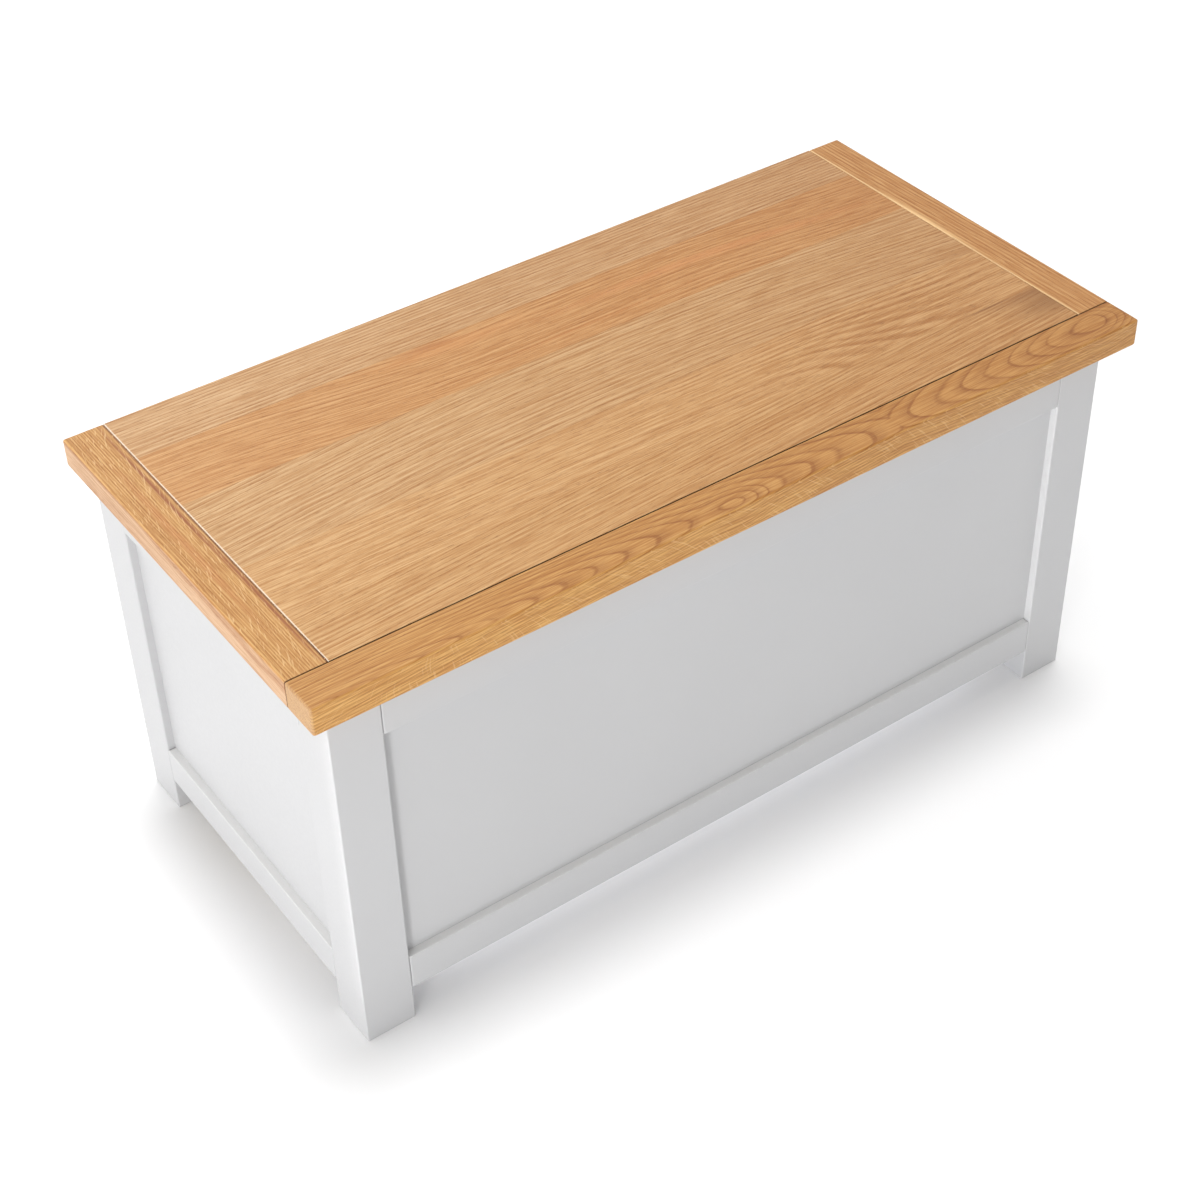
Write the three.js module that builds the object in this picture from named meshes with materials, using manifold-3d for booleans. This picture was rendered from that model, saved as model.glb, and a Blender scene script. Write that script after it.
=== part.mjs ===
// Blanket chest: a framed and panelled body on four posts, and an oak lid on two butt hinges
// with a folding stay at each end.
// Millimetres, +Z up, front towards -Y, origin on the floor under the middle of the overall box.
import * as THREE from 'three';
import { ConvexGeometry } from 'three/addons/geometries/ConvexGeometry.js';
import { mergeVertices } from 'three/addons/utils/BufferGeometryUtils.js';
import Module from 'manifold-3d';

// Lid
const lidWidth = 1000;
const lidDepth = 490;
const lidThickness = 32;
const lidSideOverhang = 24;
const lidFrontOverhang = 25;
const lidRearOverhang = 1;
const lidFrontRailWidth = 45;
const lidSideRailWidth = 44;
const lidEdgeEase = 2.5;
const lidJointEase = 1.2;
const lidTongueThickness = 10;
const lidTongueLength = 10;
const lidTongueStop = 14;
// Share of the panel's depth that each of its boards takes, from the rear
const lidBoardShares = [0.166, 0.21, 0.264, 0.197, 0.163];

// Body
const chestHeight = 485;
const postWidth = 56;
const footHeight = 43.5;
const bottomRailHeight = 45;
const topRailHeight = 61;
const railThickness = 24;
const panelRecess = 9;
const panelThickness = 9;
const panelTongue = 8;
const tenonEdge = 5;
const tenonShare = 0.65;
const bodyEase = 1.5;

// Floor of the body
const floorThickness = 9;
const floorRise = 20;
const cleatWidth = 18;
const cleatHeight = 16;

// Gaps between pieces that meet, and the run of a cutter past the face that it opens
const fitGap = 0.3;
const lidGap = 0.6;
const overrun = 5;

// Hinges: the inset is from each end of the lid to the middle of a leaf
const hingeInset = 200;
const leafLength = 75;
const leafReach = 21;
const leafThickness = 2;
const knuckleRadius = 3.1;
const knuckleCount = 5;
const hingePinRadius = 1.5;
const screwsPerLeaf = 3;
const screwSpacing = 25;
const screwInset = 9;
const screwLength = 18;
const screwTip = 5;
const screwShankRadius = 1.7;
const screwHeadRadius = 3.4;
const screwHeadDepth = 1.7;

// Lid stays: reaches and drops are measured from the hinge axis, forward and down
const stayBaseDrop = 35;
const stayLidReach = 220;
const stayLidDrop = 12;
const housingLength = 60;
const housingHeight = 30;
const housingThickness = 10;
const housingCorner = 8;
const housingPivotInset = 12;
const housingPostGap = 3;
const armWidth = 14;
const armThickness = 3;
const linkWidth = 12;
const linkThickness = 3;
const stayPinRadius = 2.5;
const stayPinHeadRadius = 4.5;
const stayPinHeadDepth = 1.5;
const stayPinSeat = 6;
const looseFit = 0.6;
const bracketLength = 40;
const bracketWidth = 18;
const bracketThickness = 2.5;

// Facets of round surfaces
const knuckleFacets = 24;
const screwFacets = 12;
const pinFacets = 20;
const arcFacets = 8;

// Levels and faces that follow from the sizes above
const lidTop = chestHeight;
const lidUnderside = lidTop - lidThickness;
const bodyTop = lidUnderside - lidGap;
const bottomRailTop = footHeight + bottomRailHeight;
const topRailUnderside = bodyTop - topRailHeight;
const axisBehindLid = fitGap + knuckleRadius;
const overallDepth = lidDepth + axisBehindLid + knuckleRadius;
const lidFront = -overallDepth / 2;
const lidBack = lidFront + lidDepth;
const bodyWidth = lidWidth - 2 * lidSideOverhang;
const bodyFront = lidFront + lidFrontOverhang;
const bodyBack = lidBack - lidRearOverhang;
const bodyDepth = bodyBack - bodyFront;
const axisY = lidBack + axisBehindLid;
const axisZ = lidUnderside - lidGap / 2;

const wasm = await Module();
wasm.setup();

// Finishes, each piece taking its own copy
const finishes = {
  paint: { color: 0xd8d8d6, roughness: 0.45, metalness: 0 },
  oak: { color: 0xb9772f, roughness: 0.5, metalness: 0 },
  plywood: { color: 0xcdb083, roughness: 0.7, metalness: 0 },
  brass: { color: 0xb08d4a, roughness: 0.35, metalness: 0.9 },
  steel: { color: 0xa9abae, roughness: 0.35, metalness: 0.9 },
  housing: { color: 0x8c8e91, roughness: 0.6, metalness: 0 },
};

function addPiece(parent, name, geometry, finish) {
  const mesh = new THREE.Mesh(geometry, new THREE.MeshStandardMaterial(finishes[finish]));
  mesh.name = name;
  parent.add(mesh);
  return mesh;
}

// Booleans
function toSolid(geometry) {
  const bare = geometry.clone();
  bare.deleteAttribute('normal');
  bare.deleteAttribute('uv');
  const merged = mergeVertices(bare);
  return new wasm.Manifold(new wasm.Mesh({
    numProp: 3,
    vertProperties: new Float32Array(merged.attributes.position.array),
    triVerts: new Uint32Array(merged.index.array),
  }));
}

function toGeometry(solid) {
  const mesh = solid.getMesh();
  const geometry = new THREE.BufferGeometry();
  geometry.setAttribute('position', new THREE.BufferAttribute(mesh.vertProperties, 3));
  geometry.setIndex(new THREE.BufferAttribute(mesh.triVerts, 1));
  geometry.computeVertexNormals();
  return geometry;
}

function join(...geometries) {
  return toGeometry(geometries.map(toSolid).reduce((whole, piece) => whole.add(piece)));
}

function cut(geometry, ...cutters) {
  return toGeometry(cutters.map(toSolid).reduce((whole, cutter) => whole.subtract(cutter), toSolid(geometry)));
}

function common(first, second) {
  return toGeometry(toSolid(first).intersect(toSolid(second)));
}

// Basic forms
function block([xa, xb], [ya, yb], [za, zb]) {
  const box = new THREE.BoxGeometry(Math.abs(xb - xa), Math.abs(yb - ya), Math.abs(zb - za));
  return box.translate((xa + xb) / 2, (ya + yb) / 2, (za + zb) / 2);
}

// A board with all its arrises eased to a flat of the given width on each face
function easedBlock(xs, ys, zs, ease) {
  const points = [];
  for (const i of [0, 1]) {
    for (const j of [0, 1]) {
      for (const k of [0, 1]) {
        const innerX = xs[i] + (i ? -ease : ease);
        const innerY = ys[j] + (j ? -ease : ease);
        const innerZ = zs[k] + (k ? -ease : ease);
        points.push(new THREE.Vector3(xs[i], innerY, innerZ));
        points.push(new THREE.Vector3(innerX, ys[j], innerZ));
        points.push(new THREE.Vector3(innerX, innerY, zs[k]));
      }
    }
  }
  return new ConvexGeometry(points);
}

function grown([low, high], gap) {
  return [low - gap, high + gap];
}

// A round rod along X
function rod([xa, xb], radius, facets) {
  const geometry = new THREE.CylinderGeometry(radius, radius, Math.abs(xb - xa), facets);
  return geometry.rotateZ(Math.PI / 2).translate((xa + xb) / 2, 0, 0);
}

// A turned form on the Z axis from [radius, height] points, listed upwards
function turned(profile, facets) {
  const points = profile.map(([radius, height]) => new THREE.Vector2(radius, height));
  return new THREE.LatheGeometry(points, facets).rotateX(Math.PI / 2);
}

// A flat plate across X from a shape drawn with Y to the right and Z up
function plate(shape, [xa, xb]) {
  const options = { depth: Math.abs(xb - xa), bevelEnabled: false, curveSegments: arcFacets };
  const geometry = new THREE.ExtrudeGeometry(shape, options);
  const turn = new THREE.Matrix4().makeBasis(
    new THREE.Vector3(0, 1, 0), new THREE.Vector3(0, 0, 1), new THREE.Vector3(1, 0, 0));
  return geometry.applyMatrix4(turn).translate(Math.min(xa, xb), 0, 0);
}

function roundHole([y, z], radius) {
  return new THREE.Path().absarc(y, z, radius, 0, 2 * Math.PI, true);
}

// A bar with round ends between two pivots
function barShape([ya, za], [yb, zb], width) {
  const angle = Math.atan2(zb - za, yb - ya);
  const shape = new THREE.Shape();
  shape.absarc(yb, zb, width / 2, angle - Math.PI / 2, angle + Math.PI / 2, false);
  shape.absarc(ya, za, width / 2, angle + Math.PI / 2, angle + Math.PI * 3 / 2, false);
  shape.closePath();
  return shape;
}

// Body sides. In a side's own frame X runs along it, Y points into the chest from the outer
// faces of the posts, and Z is the height.
const grooveLine = [panelRecess, panelRecess + panelThickness];
const grooveSlot = grown(grooveLine, fitGap);
const tenonLength = (postWidth - panelRecess - panelThickness) * tenonShare;
const bottomTenonSpan = [footHeight + tenonEdge, bottomRailTop - panelTongue - tenonEdge];
const topTenonSpan = [topRailUnderside + panelTongue + tenonEdge, bodyTop - tenonEdge];
const panelSpan = [bottomRailTop - panelTongue + fitGap, topRailUnderside + panelTongue - fitGap];

function rail(length, levels, tenonSpan, grooveSpan) {
  const shoulder = length / 2 - postWidth - fitGap;
  const tenonEnd = length / 2 - postWidth + tenonLength;
  const board = easedBlock([-shoulder, shoulder], [0, railThickness], levels, bodyEase);
  const tenons = block([-tenonEnd, tenonEnd], grooveLine, tenonSpan);
  const groove = block([-length / 2, length / 2], grooveSlot, grooveSpan);
  return cut(join(board, tenons), groove);
}

function bodySide(name, length, cutters = []) {
  const side = new THREE.Group();
  const topGroove = [topRailUnderside - overrun, topRailUnderside + panelTongue];
  const bottomGroove = [bottomRailTop - panelTongue, bottomRailTop + overrun];
  const topRail = rail(length, [topRailUnderside, bodyTop], topTenonSpan, topGroove);
  const bottomRail = rail(length, [footHeight, bottomRailTop], bottomTenonSpan, bottomGroove);
  const panelEnd = length / 2 - postWidth + panelTongue - fitGap;
  addPiece(side, `${name}_top_rail`, cut(topRail, ...cutters), 'paint');
  addPiece(side, `${name}_bottom_rail`, bottomRail, 'paint');
  addPiece(side, `${name}_panel`, block([-panelEnd, panelEnd], grooveLine, panelSpan), 'paint');
  return side;
}

// A strip along the inner face of a bottom rail, on which the floor rests
function cleat(length) {
  const end = length / 2 - postWidth - fitGap;
  const outer = railThickness + fitGap;
  const top = footHeight + floorRise - fitGap;
  return block([-end, end], [outer, outer + cleatWidth], [top - cleatHeight, top]);
}

// A post in its own frame: its outer corner is on the Z axis, and rails meet its +X and +Y faces
function post() {
  const body = easedBlock([0, postWidth], [0, postWidth], [0, bodyTop], bodyEase);
  const mortise = [postWidth - tenonLength - fitGap, postWidth + overrun];
  const groove = [postWidth - panelTongue, postWidth + overrun];
  const cutters = [];
  for (const [reach, span] of [
    [mortise, bottomTenonSpan], [mortise, topTenonSpan], [groove, panelSpan]]) {
    cutters.push(block(reach, grooveSlot, grown(span, fitGap)));
    cutters.push(block(grooveSlot, reach, grown(span, fitGap)));
  }
  return cut(body, ...cutters);
}

function floorPanel() {
  const halfWidth = bodyWidth / 2 - railThickness - fitGap;
  const halfDepth = bodyDepth / 2 - railThickness - fitGap;
  const notchX = bodyWidth / 2 - postWidth - fitGap;
  const notchY = bodyDepth / 2 - postWidth - fitGap;
  const outline = new THREE.Shape([
    new THREE.Vector2(-notchX, -halfDepth), new THREE.Vector2(notchX, -halfDepth),
    new THREE.Vector2(notchX, -notchY), new THREE.Vector2(halfWidth, -notchY),
    new THREE.Vector2(halfWidth, notchY), new THREE.Vector2(notchX, notchY),
    new THREE.Vector2(notchX, halfDepth), new THREE.Vector2(-notchX, halfDepth),
    new THREE.Vector2(-notchX, notchY), new THREE.Vector2(-halfWidth, notchY),
    new THREE.Vector2(-halfWidth, -notchY), new THREE.Vector2(-notchX, -notchY),
  ]);
  const geometry = new THREE.ExtrudeGeometry(outline, { depth: floorThickness, bevelEnabled: false });
  return geometry.translate(0, 0, footHeight + floorRise);
}

// Hinges. In a hinge's own frame the X axis is the pin's axis, and the leaves reach to -Y.
const leafBackEdge = -knuckleRadius - fitGap;
const leafFrontEdge = leafBackEdge - leafReach;
const screwLine = leafFrontEdge + screwInset;
const screwPlaces = [...Array(screwsPerLeaf).keys()].map(
  (index) => (index - (screwsPerLeaf - 1) / 2) * screwSpacing);
const knuckleLength = (leafLength - (knuckleCount - 1) * fitGap) / knuckleCount;

function screwProfile(clearance, rise) {
  const shank = screwShankRadius + clearance;
  const head = screwHeadRadius + clearance;
  const tip = -screwLength - clearance;
  const rim = rise ? [[head, rise]] : [];
  return [[0, tip], [shank, tip + screwTip], [shank, -screwHeadDepth], [head, 0], ...rim, [0, rise]];
}

// Pieces of a leaf point down from the axis on the body and up on the lid
function placedScrew(x, up, clearance = 0, rise = 0) {
  const screw = turned(screwProfile(clearance, rise), screwFacets);
  return screw.rotateX(up ? Math.PI : 0).translate(x, screwLine, (up ? 1 : -1) * lidGap / 2);
}

function screwHoles(up) {
  return screwPlaces.map((x) => placedScrew(x, up, fitGap, overrun));
}

function leaf(up) {
  const direction = up ? 1 : -1;
  const levels = [direction * lidGap / 2, direction * (lidGap / 2 + leafThickness)];
  const pieces = [block([-leafLength / 2, leafLength / 2], [leafFrontEdge, leafBackEdge], levels)];
  for (let index = up ? 1 : 0; index < knuckleCount; index += 2) {
    const start = -leafLength / 2 + index * (knuckleLength + fitGap);
    const span = [start, start + knuckleLength];
    pieces.push(rod(span, knuckleRadius, knuckleFacets));
    pieces.push(block(span, [leafBackEdge - leafThickness, 0], levels));
  }
  const bore = rod(grown([-leafLength / 2, leafLength / 2], overrun), hingePinRadius + fitGap, knuckleFacets);
  return cut(join(...pieces), bore, ...screwHoles(up));
}

// Room for a leaf and its screws in the wood that carries it
function leafMortise(up) {
  const direction = up ? 1 : -1;
  const half = leafLength / 2 + fitGap;
  const depth = direction * (lidGap / 2 + leafThickness + fitGap);
  return [
    block([-half, half], [leafFrontEdge - fitGap, overrun], [-direction * overrun, depth]),
    ...screwHoles(up)];
}

function hinge(name, body, lid) {
  addPiece(body, `${name}_body_leaf`, leaf(false), 'brass');
  addPiece(lid, `${name}_lid_leaf`, leaf(true), 'brass');
  addPiece(body, `${name}_pin`, rod([-leafLength / 2, leafLength / 2], hingePinRadius, knuckleFacets), 'steel');
  screwPlaces.forEach((x, index) => {
    addPiece(body, `${name}_body_screw_${index + 1}`, placedScrew(x, false), 'brass');
    addPiece(lid, `${name}_lid_screw_${index + 1}`, placedScrew(x, true), 'brass');
  });
}

const hingeReach = lidWidth / 2 - hingeInset;
const hingePlaces = { hinge_left: -hingeReach, hinge_right: hingeReach };

// Lid pieces
const panelLeft = -lidWidth / 2 + lidSideRailWidth;
const frontRailBack = lidFront + lidFrontRailWidth;
const tongueMiddle = lidUnderside + lidThickness / 2;
const tongueSpan = [tongueMiddle - lidTongueThickness / 2, tongueMiddle + lidTongueThickness / 2];
const tongueSlot = grown(tongueSpan, fitGap);
const lidEnvelope = easedBlock(
  [-lidWidth / 2, lidWidth / 2], [lidFront, lidBack], [lidUnderside, lidTop], lidEdgeEase);

function lidBoard(xs, ys, zs) {
  return common(easedBlock(xs, ys, zs, lidJointEase), lidEnvelope);
}

function lidFrontRail() {
  const board = lidBoard([-lidWidth / 2, lidWidth / 2], [lidFront, frontRailBack], [lidUnderside, lidTop]);
  const grooveEnd = lidWidth / 2 - lidTongueStop + fitGap;
  const groove = [frontRailBack - lidTongueLength - fitGap, frontRailBack + overrun];
  return cut(board, block([-grooveEnd, grooveEnd], groove, tongueSlot));
}

// The left rail is drawn, and the right one is the same board mirrored in X
function lidSideRail(hand) {
  const outer = hand * lidWidth / 2;
  const inner = -hand * panelLeft;
  const xs = [Math.min(outer, inner), Math.max(outer, inner)];
  const board = lidBoard(xs, [frontRailBack + fitGap, lidBack], [lidUnderside, lidTop]);
  const tongue = block(
    [outer - hand * lidTongueStop, inner + hand * (lidTongueLength + 2 * fitGap)],
    [frontRailBack - lidTongueLength, frontRailBack + lidTongueLength], tongueSpan);
  const groove = block(
    [inner + hand * (lidTongueLength + fitGap), inner - hand * overrun],
    [frontRailBack - lidTongueLength, lidBack - lidTongueStop + fitGap], tongueSlot);
  return cut(join(board, tongue), groove);
}

// The panel is planed as one, so only its outer edges are eased, and its boards meet square
function lidPanelBoards(lid, leafMortises) {
  const ends = [panelLeft + fitGap, -panelLeft - fitGap];
  const panelFront = frontRailBack + fitGap;
  const levels = [lidUnderside, lidTop];
  const panel = lidBoard(ends, [panelFront, lidBack], levels);
  let rear = lidBack;
  lidBoardShares.forEach((share, index) => {
    const first = index === 0;
    const last = index === lidBoardShares.length - 1;
    const front = last ? panelFront : rear - share * (lidBack - panelFront);
    const tongueRear = first ? lidBack - lidTongueStop : rear;
    const tongueFront = last ? frontRailBack - lidTongueLength : front;
    const board = join(
      common(panel, block(ends, [front, rear], levels)),
      block(grown(ends, lidTongueLength), [front, tongueRear], tongueSpan),
      block(ends, [tongueFront, tongueRear], tongueSpan));
    addPiece(lid, `lid_board_${index + 1}`, first ? cut(board, ...leafMortises) : board, 'oak');
    rear = front - fitGap;
  });
}

// Lid stays. Their frame is the hinge axis, and depths are measured inboard from the inner face
// of the side rail: housing, then the arm with the bracket's ear, then the link.
const stayBaseReach = axisY - bodyBack + postWidth + housingPostGap + housingPivotInset;
const stayBase = [-stayBaseReach, -stayBaseDrop];
const stayLid = [-stayLidReach, -stayLidDrop];
const stayElbow = [stayBase[0] + stayLid[0], stayBase[1] + stayLid[1]];
const housingSpan = [fitGap, fitGap + housingThickness];
const armSpan = [housingSpan[1] + fitGap, housingSpan[1] + fitGap + armThickness];
const linkSpan = [armSpan[1] + fitGap, armSpan[1] + fitGap + linkThickness];

function stay(name, hand, body, lid) {
  const across = ([near, far]) => [near, far].map(
    (depth) => hand * (bodyWidth / 2 - railThickness - depth)).sort((a, b) => a - b);
  const bore = stayPinRadius + fitGap;

  const seat = [housingSpan[1] - stayPinSeat - fitGap, housingSpan[1] + overrun];
  const housing = cut(
    plate(housingShape(), across(housingSpan)),
    rod(across(seat), bore, pinFacets).translate(0, ...stayBase));
  addPiece(body, `${name}_housing`, housing, 'housing');

  const armShape = barShape(stayElbow, stayBase, armWidth);
  armShape.holes.push(roundHole(stayBase, bore), roundHole(stayElbow, bore));
  addPiece(body, `${name}_arm`, plate(armShape, across(armSpan)), 'steel');

  const linkShape = barShape(stayElbow, stayLid, linkWidth);
  linkShape.holes.push(roundHole(stayElbow, bore), roundHole(stayLid, stayPinRadius + looseFit));
  addPiece(body, `${name}_link`, plate(linkShape, across(linkSpan)), 'steel');

  addPiece(lid, `${name}_lid_bracket`, lidBracket(across, bore), 'steel');

  const shankOut = [housingSpan[1] - stayPinSeat, armSpan[1] + fitGap];
  addPiece(body, `${name}_arm_pin`, headedPin(across, shankOut, stayBase, false), 'steel');
  const throughBoth = [armSpan[0] - fitGap, linkSpan[1] + fitGap];
  addPiece(body, `${name}_elbow_pin`, headedPin(across, throughBoth, stayElbow, true), 'steel');
  addPiece(lid, `${name}_lid_pin`, headedPin(across, throughBoth, stayLid, true), 'steel');
}

// The housing's outline round the arm's pivot, longer towards the front
function housingShape() {
  const [pivotY, pivotZ] = stayBase;
  const back = pivotY + housingPivotInset - housingCorner;
  const front = pivotY + housingPivotInset - housingLength + housingCorner;
  const low = pivotZ - housingHeight / 2 + housingCorner;
  const high = pivotZ + housingHeight / 2 - housingCorner;
  const quarter = Math.PI / 2;
  const shape = new THREE.Shape();
  [[back, low], [back, high], [front, high], [front, low]].forEach(([y, z], index) => {
    shape.absarc(y, z, housingCorner, (index - 1) * quarter, index * quarter, false);
  });
  shape.closePath();
  return shape;
}

// A pin across X with a head inboard, and a second head outboard where it is riveted
function headedPin(across, span, place, riveted) {
  const [start, end] = span;
  const shankStart = riveted ? start - stayPinHeadDepth / 2 : start;
  const pieces = [
    rod(across([shankStart, end + stayPinHeadDepth / 2]), stayPinRadius, pinFacets),
    rod(across([end, end + stayPinHeadDepth]), stayPinHeadRadius, pinFacets)];
  if (riveted) {
    pieces.push(rod(across([start - stayPinHeadDepth, start]), stayPinHeadRadius, pinFacets));
  }
  return join(...pieces).translate(0, ...place);
}

// A flat foot under the lid with one ear down to the pivot
function lidBracket(across, bore) {
  const [pivotY, pivotZ] = stayLid;
  const footTop = lidGap / 2 - fitGap;
  const footMiddle = (armSpan[0] + armSpan[1]) / 2;
  const foot = block(
    across([footMiddle - bracketWidth / 2, footMiddle + bracketWidth / 2]),
    [pivotY - bracketLength / 2, pivotY + bracketLength / 2], [footTop - bracketThickness, footTop]);
  const ear = new THREE.Shape();
  ear.absarc(pivotY, pivotZ, armWidth / 2, -Math.PI, 0, false);
  ear.lineTo(pivotY + armWidth / 2, footTop - bracketThickness / 2);
  ear.lineTo(pivotY - armWidth / 2, footTop - bracketThickness / 2);
  ear.closePath();
  ear.holes.push(roundHole(stayLid, bore));
  return join(foot, plate(ear, across(armSpan)));
}

// The chest
const chest = new THREE.Group();
const body = new THREE.Group();
const lid = new THREE.Group();
chest.add(body, lid);

const bodyMiddle = (bodyFront + bodyBack) / 2;
const sides = [
  ['front', bodyWidth, [0, bodyFront], 0],
  ['right', bodyDepth, [bodyWidth / 2, bodyMiddle], 1],
  ['rear', bodyWidth, [0, bodyBack], 2],
  ['left', bodyDepth, [-bodyWidth / 2, bodyMiddle], 3],
];
const corners = [
  ['post_front_left', [-bodyWidth / 2, bodyFront], 0],
  ['post_front_right', [bodyWidth / 2, bodyFront], 1],
  ['post_rear_right', [bodyWidth / 2, bodyBack], 2],
  ['post_rear_left', [-bodyWidth / 2, bodyBack], 3],
];

// The rear top rail is cut in its own frame, which faces backwards, so the cutters turn with it
const rearCutters = Object.values(hingePlaces).flatMap((place) => leafMortise(false).map(
  (cutter) => cutter.rotateZ(Math.PI).translate(-place, bodyBack - axisY, axisZ)));

for (const [name, length, [x, y], quarters] of sides) {
  const side = bodySide(name, length, name === 'rear' ? rearCutters : []);
  if (length === bodyWidth) {
    addPiece(side, `${name}_cleat`, cleat(length), 'plywood');
  }
  side.position.set(x, y, 0);
  side.rotation.z = quarters * Math.PI / 2;
  body.add(side);
}
for (const [name, [x, y], quarters] of corners) {
  const mesh = addPiece(body, name, post(), 'paint');
  mesh.position.set(x, y, 0);
  mesh.rotation.z = quarters * Math.PI / 2;
}
addPiece(body, 'floor_panel', floorPanel(), 'plywood').position.y = bodyMiddle;

addPiece(lid, 'lid_front_rail', lidFrontRail(), 'oak');
addPiece(lid, 'lid_left_rail', lidSideRail(-1), 'oak');
addPiece(lid, 'lid_right_rail', lidSideRail(1), 'oak');
lidPanelBoards(lid, Object.values(hingePlaces).flatMap((place) => leafMortise(true).map(
  (cutter) => cutter.translate(place, axisY, axisZ))));

// Hardware hangs on the hinge axis, half of it on the body and half on the lid
for (const [name, place] of Object.entries(hingePlaces)) {
  const bodyHalf = new THREE.Group();
  const lidHalf = new THREE.Group();
  bodyHalf.position.set(place, axisY, axisZ);
  lidHalf.position.copy(bodyHalf.position);
  hinge(name, bodyHalf, lidHalf);
  body.add(bodyHalf);
  lid.add(lidHalf);
}
for (const [name, hand] of [['stay_left', -1], ['stay_right', 1]]) {
  const bodyHalf = new THREE.Group();
  const lidHalf = new THREE.Group();
  bodyHalf.position.set(0, axisY, axisZ);
  lidHalf.position.copy(bodyHalf.position);
  stay(name, hand, bodyHalf, lidHalf);
  body.add(bodyHalf);
  lid.add(lidHalf);
}

export default chest;
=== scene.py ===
# %% [markdown]
# # A blanket chest in painted wood and oak
# This lesson dresses the plain solids of a blanket chest. The body is a painted frame of posts,
# rails and panels, and the lid is oak: five boards glued edge to edge, held by two side rails and
# a front rail. The solids give every place and size, so nothing here is placed by eye, and each
# board is made again with rounded arrises and its own grain.

# %% The solids that the chest is built on
import math

import bmesh
import bpy
from mathutils import Matrix, Vector


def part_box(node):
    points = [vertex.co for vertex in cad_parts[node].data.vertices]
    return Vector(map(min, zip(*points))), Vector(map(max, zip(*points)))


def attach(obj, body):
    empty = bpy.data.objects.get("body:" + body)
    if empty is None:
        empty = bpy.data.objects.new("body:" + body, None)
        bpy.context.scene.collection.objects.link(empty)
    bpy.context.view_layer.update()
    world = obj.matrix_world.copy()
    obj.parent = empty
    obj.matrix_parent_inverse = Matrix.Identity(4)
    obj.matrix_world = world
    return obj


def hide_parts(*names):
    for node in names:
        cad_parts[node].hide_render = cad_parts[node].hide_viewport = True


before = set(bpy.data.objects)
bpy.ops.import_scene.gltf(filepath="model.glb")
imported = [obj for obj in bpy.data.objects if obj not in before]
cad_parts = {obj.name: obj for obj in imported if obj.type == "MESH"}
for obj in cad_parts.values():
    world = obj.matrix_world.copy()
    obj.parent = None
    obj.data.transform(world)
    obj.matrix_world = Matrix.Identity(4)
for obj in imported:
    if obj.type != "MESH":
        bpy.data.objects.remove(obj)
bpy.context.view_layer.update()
MM = 0.001

# %% [markdown]
# ## The camera
# The chest is seen from above its front left corner. The view is 30 degrees wide, which is a short
# telephoto lens, and the small shift puts the chest in its place in the square frame. Standard
# colour keeps the whites of the paint and the floor clean.

# %% Place the camera
SENSOR = 36
VIEW_ANGLE = math.radians(30)
camera = bpy.data.objects.new("camera", bpy.data.cameras.new("camera"))
bpy.context.scene.collection.objects.link(camera)
bpy.context.scene.camera = camera
camera.location = (-1.0888, -1.5433, 1.7856)
camera.rotation_euler = [math.radians(angle) for angle in (50.594, 0.696, -36.199)]
camera.data.sensor_width = SENSOR
camera.data.lens = SENSOR / 2 / math.tan(VIEW_ANGLE / 2)
camera.data.shift_x = -0.0267
camera.data.shift_y = -0.0286
bpy.context.scene.view_settings.view_transform = "Standard"
print("lens", round(camera.data.lens, 1), "mm")

# %% [markdown]
# ## Nodes and colours
# Every finish below is a small tree of nodes. One function adds a node, sets it up and links what
# feeds it, and hands back its first output, so that trees read like formulas. Colours are written
# as the sRGB values that a painter picks on screen, and a second function turns them into the
# linear values that light is worked out with.

# %% Helpers for every finish
def linear(chip):
    """The linear colour of an sRGB hex value such as "C8A070"."""
    parts = [int(chip[start:start + 2], 16) / 255 for start in (0, 2, 4)]
    return [part / 12.92 if part <= 0.04045 else ((part + 0.055) / 1.055) ** 2.4
            for part in parts] + [1]


def feed(node, inputs):
    """Gives a node its inputs, which are values or other nodes' outputs."""
    for socket, value in inputs.items():
        if isinstance(value, bpy.types.NodeSocket):
            node.id_data.links.new(value, node.inputs[socket])
        else:
            node.inputs[socket].default_value = value


def add(tree, kind, inputs=None, stops=None, **settings):
    """Adds a node and feeds it, and gives its first output that is in use."""
    node = tree.nodes.new("ShaderNode" + kind)
    for name, value in settings.items():
        setattr(node, name, value)
    feed(node, inputs or {})
    if stops:
        ramp = node.color_ramp.elements
        while len(ramp) < len(stops):
            ramp.new(0.5)
        for element, (place, shade) in zip(ramp, stops):
            element.position = place
            element.color = linear(shade) if isinstance(shade, str) else [shade] * 3 + [1]
    return next(output for output in node.outputs if output.enabled)


def new_finish(name):
    """A material with an empty tree and its Principled shader."""
    material = bpy.data.materials.new(name)
    material.use_nodes = True
    tree = material.node_tree
    return material, tree, tree.nodes["Principled BSDF"]


print("helpers ready")

# %% [markdown]
# ## The floor and the light
# The chest stands on a seamless white sheet in a white studio. The walls are brightest on the left
# and behind, and dim in front, so the left end is brighter than the front. The key light is a soft
# box off the front left corner, small enough to throw a narrow shadow from each post into the
# recess beside it. A wide lamp straight above draws the soft shadow below the lid's edge, a window
# light and one behind put a faint sheen on the lacquer, and a narrow beam rakes along the front,
# where it picks out the recess of the panel at the far post. A dim light hidden below the chest's
# floor keeps the gap under the rails from going dark. It is a little blue, because the light
# thrown back by the plywood is brown.

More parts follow.
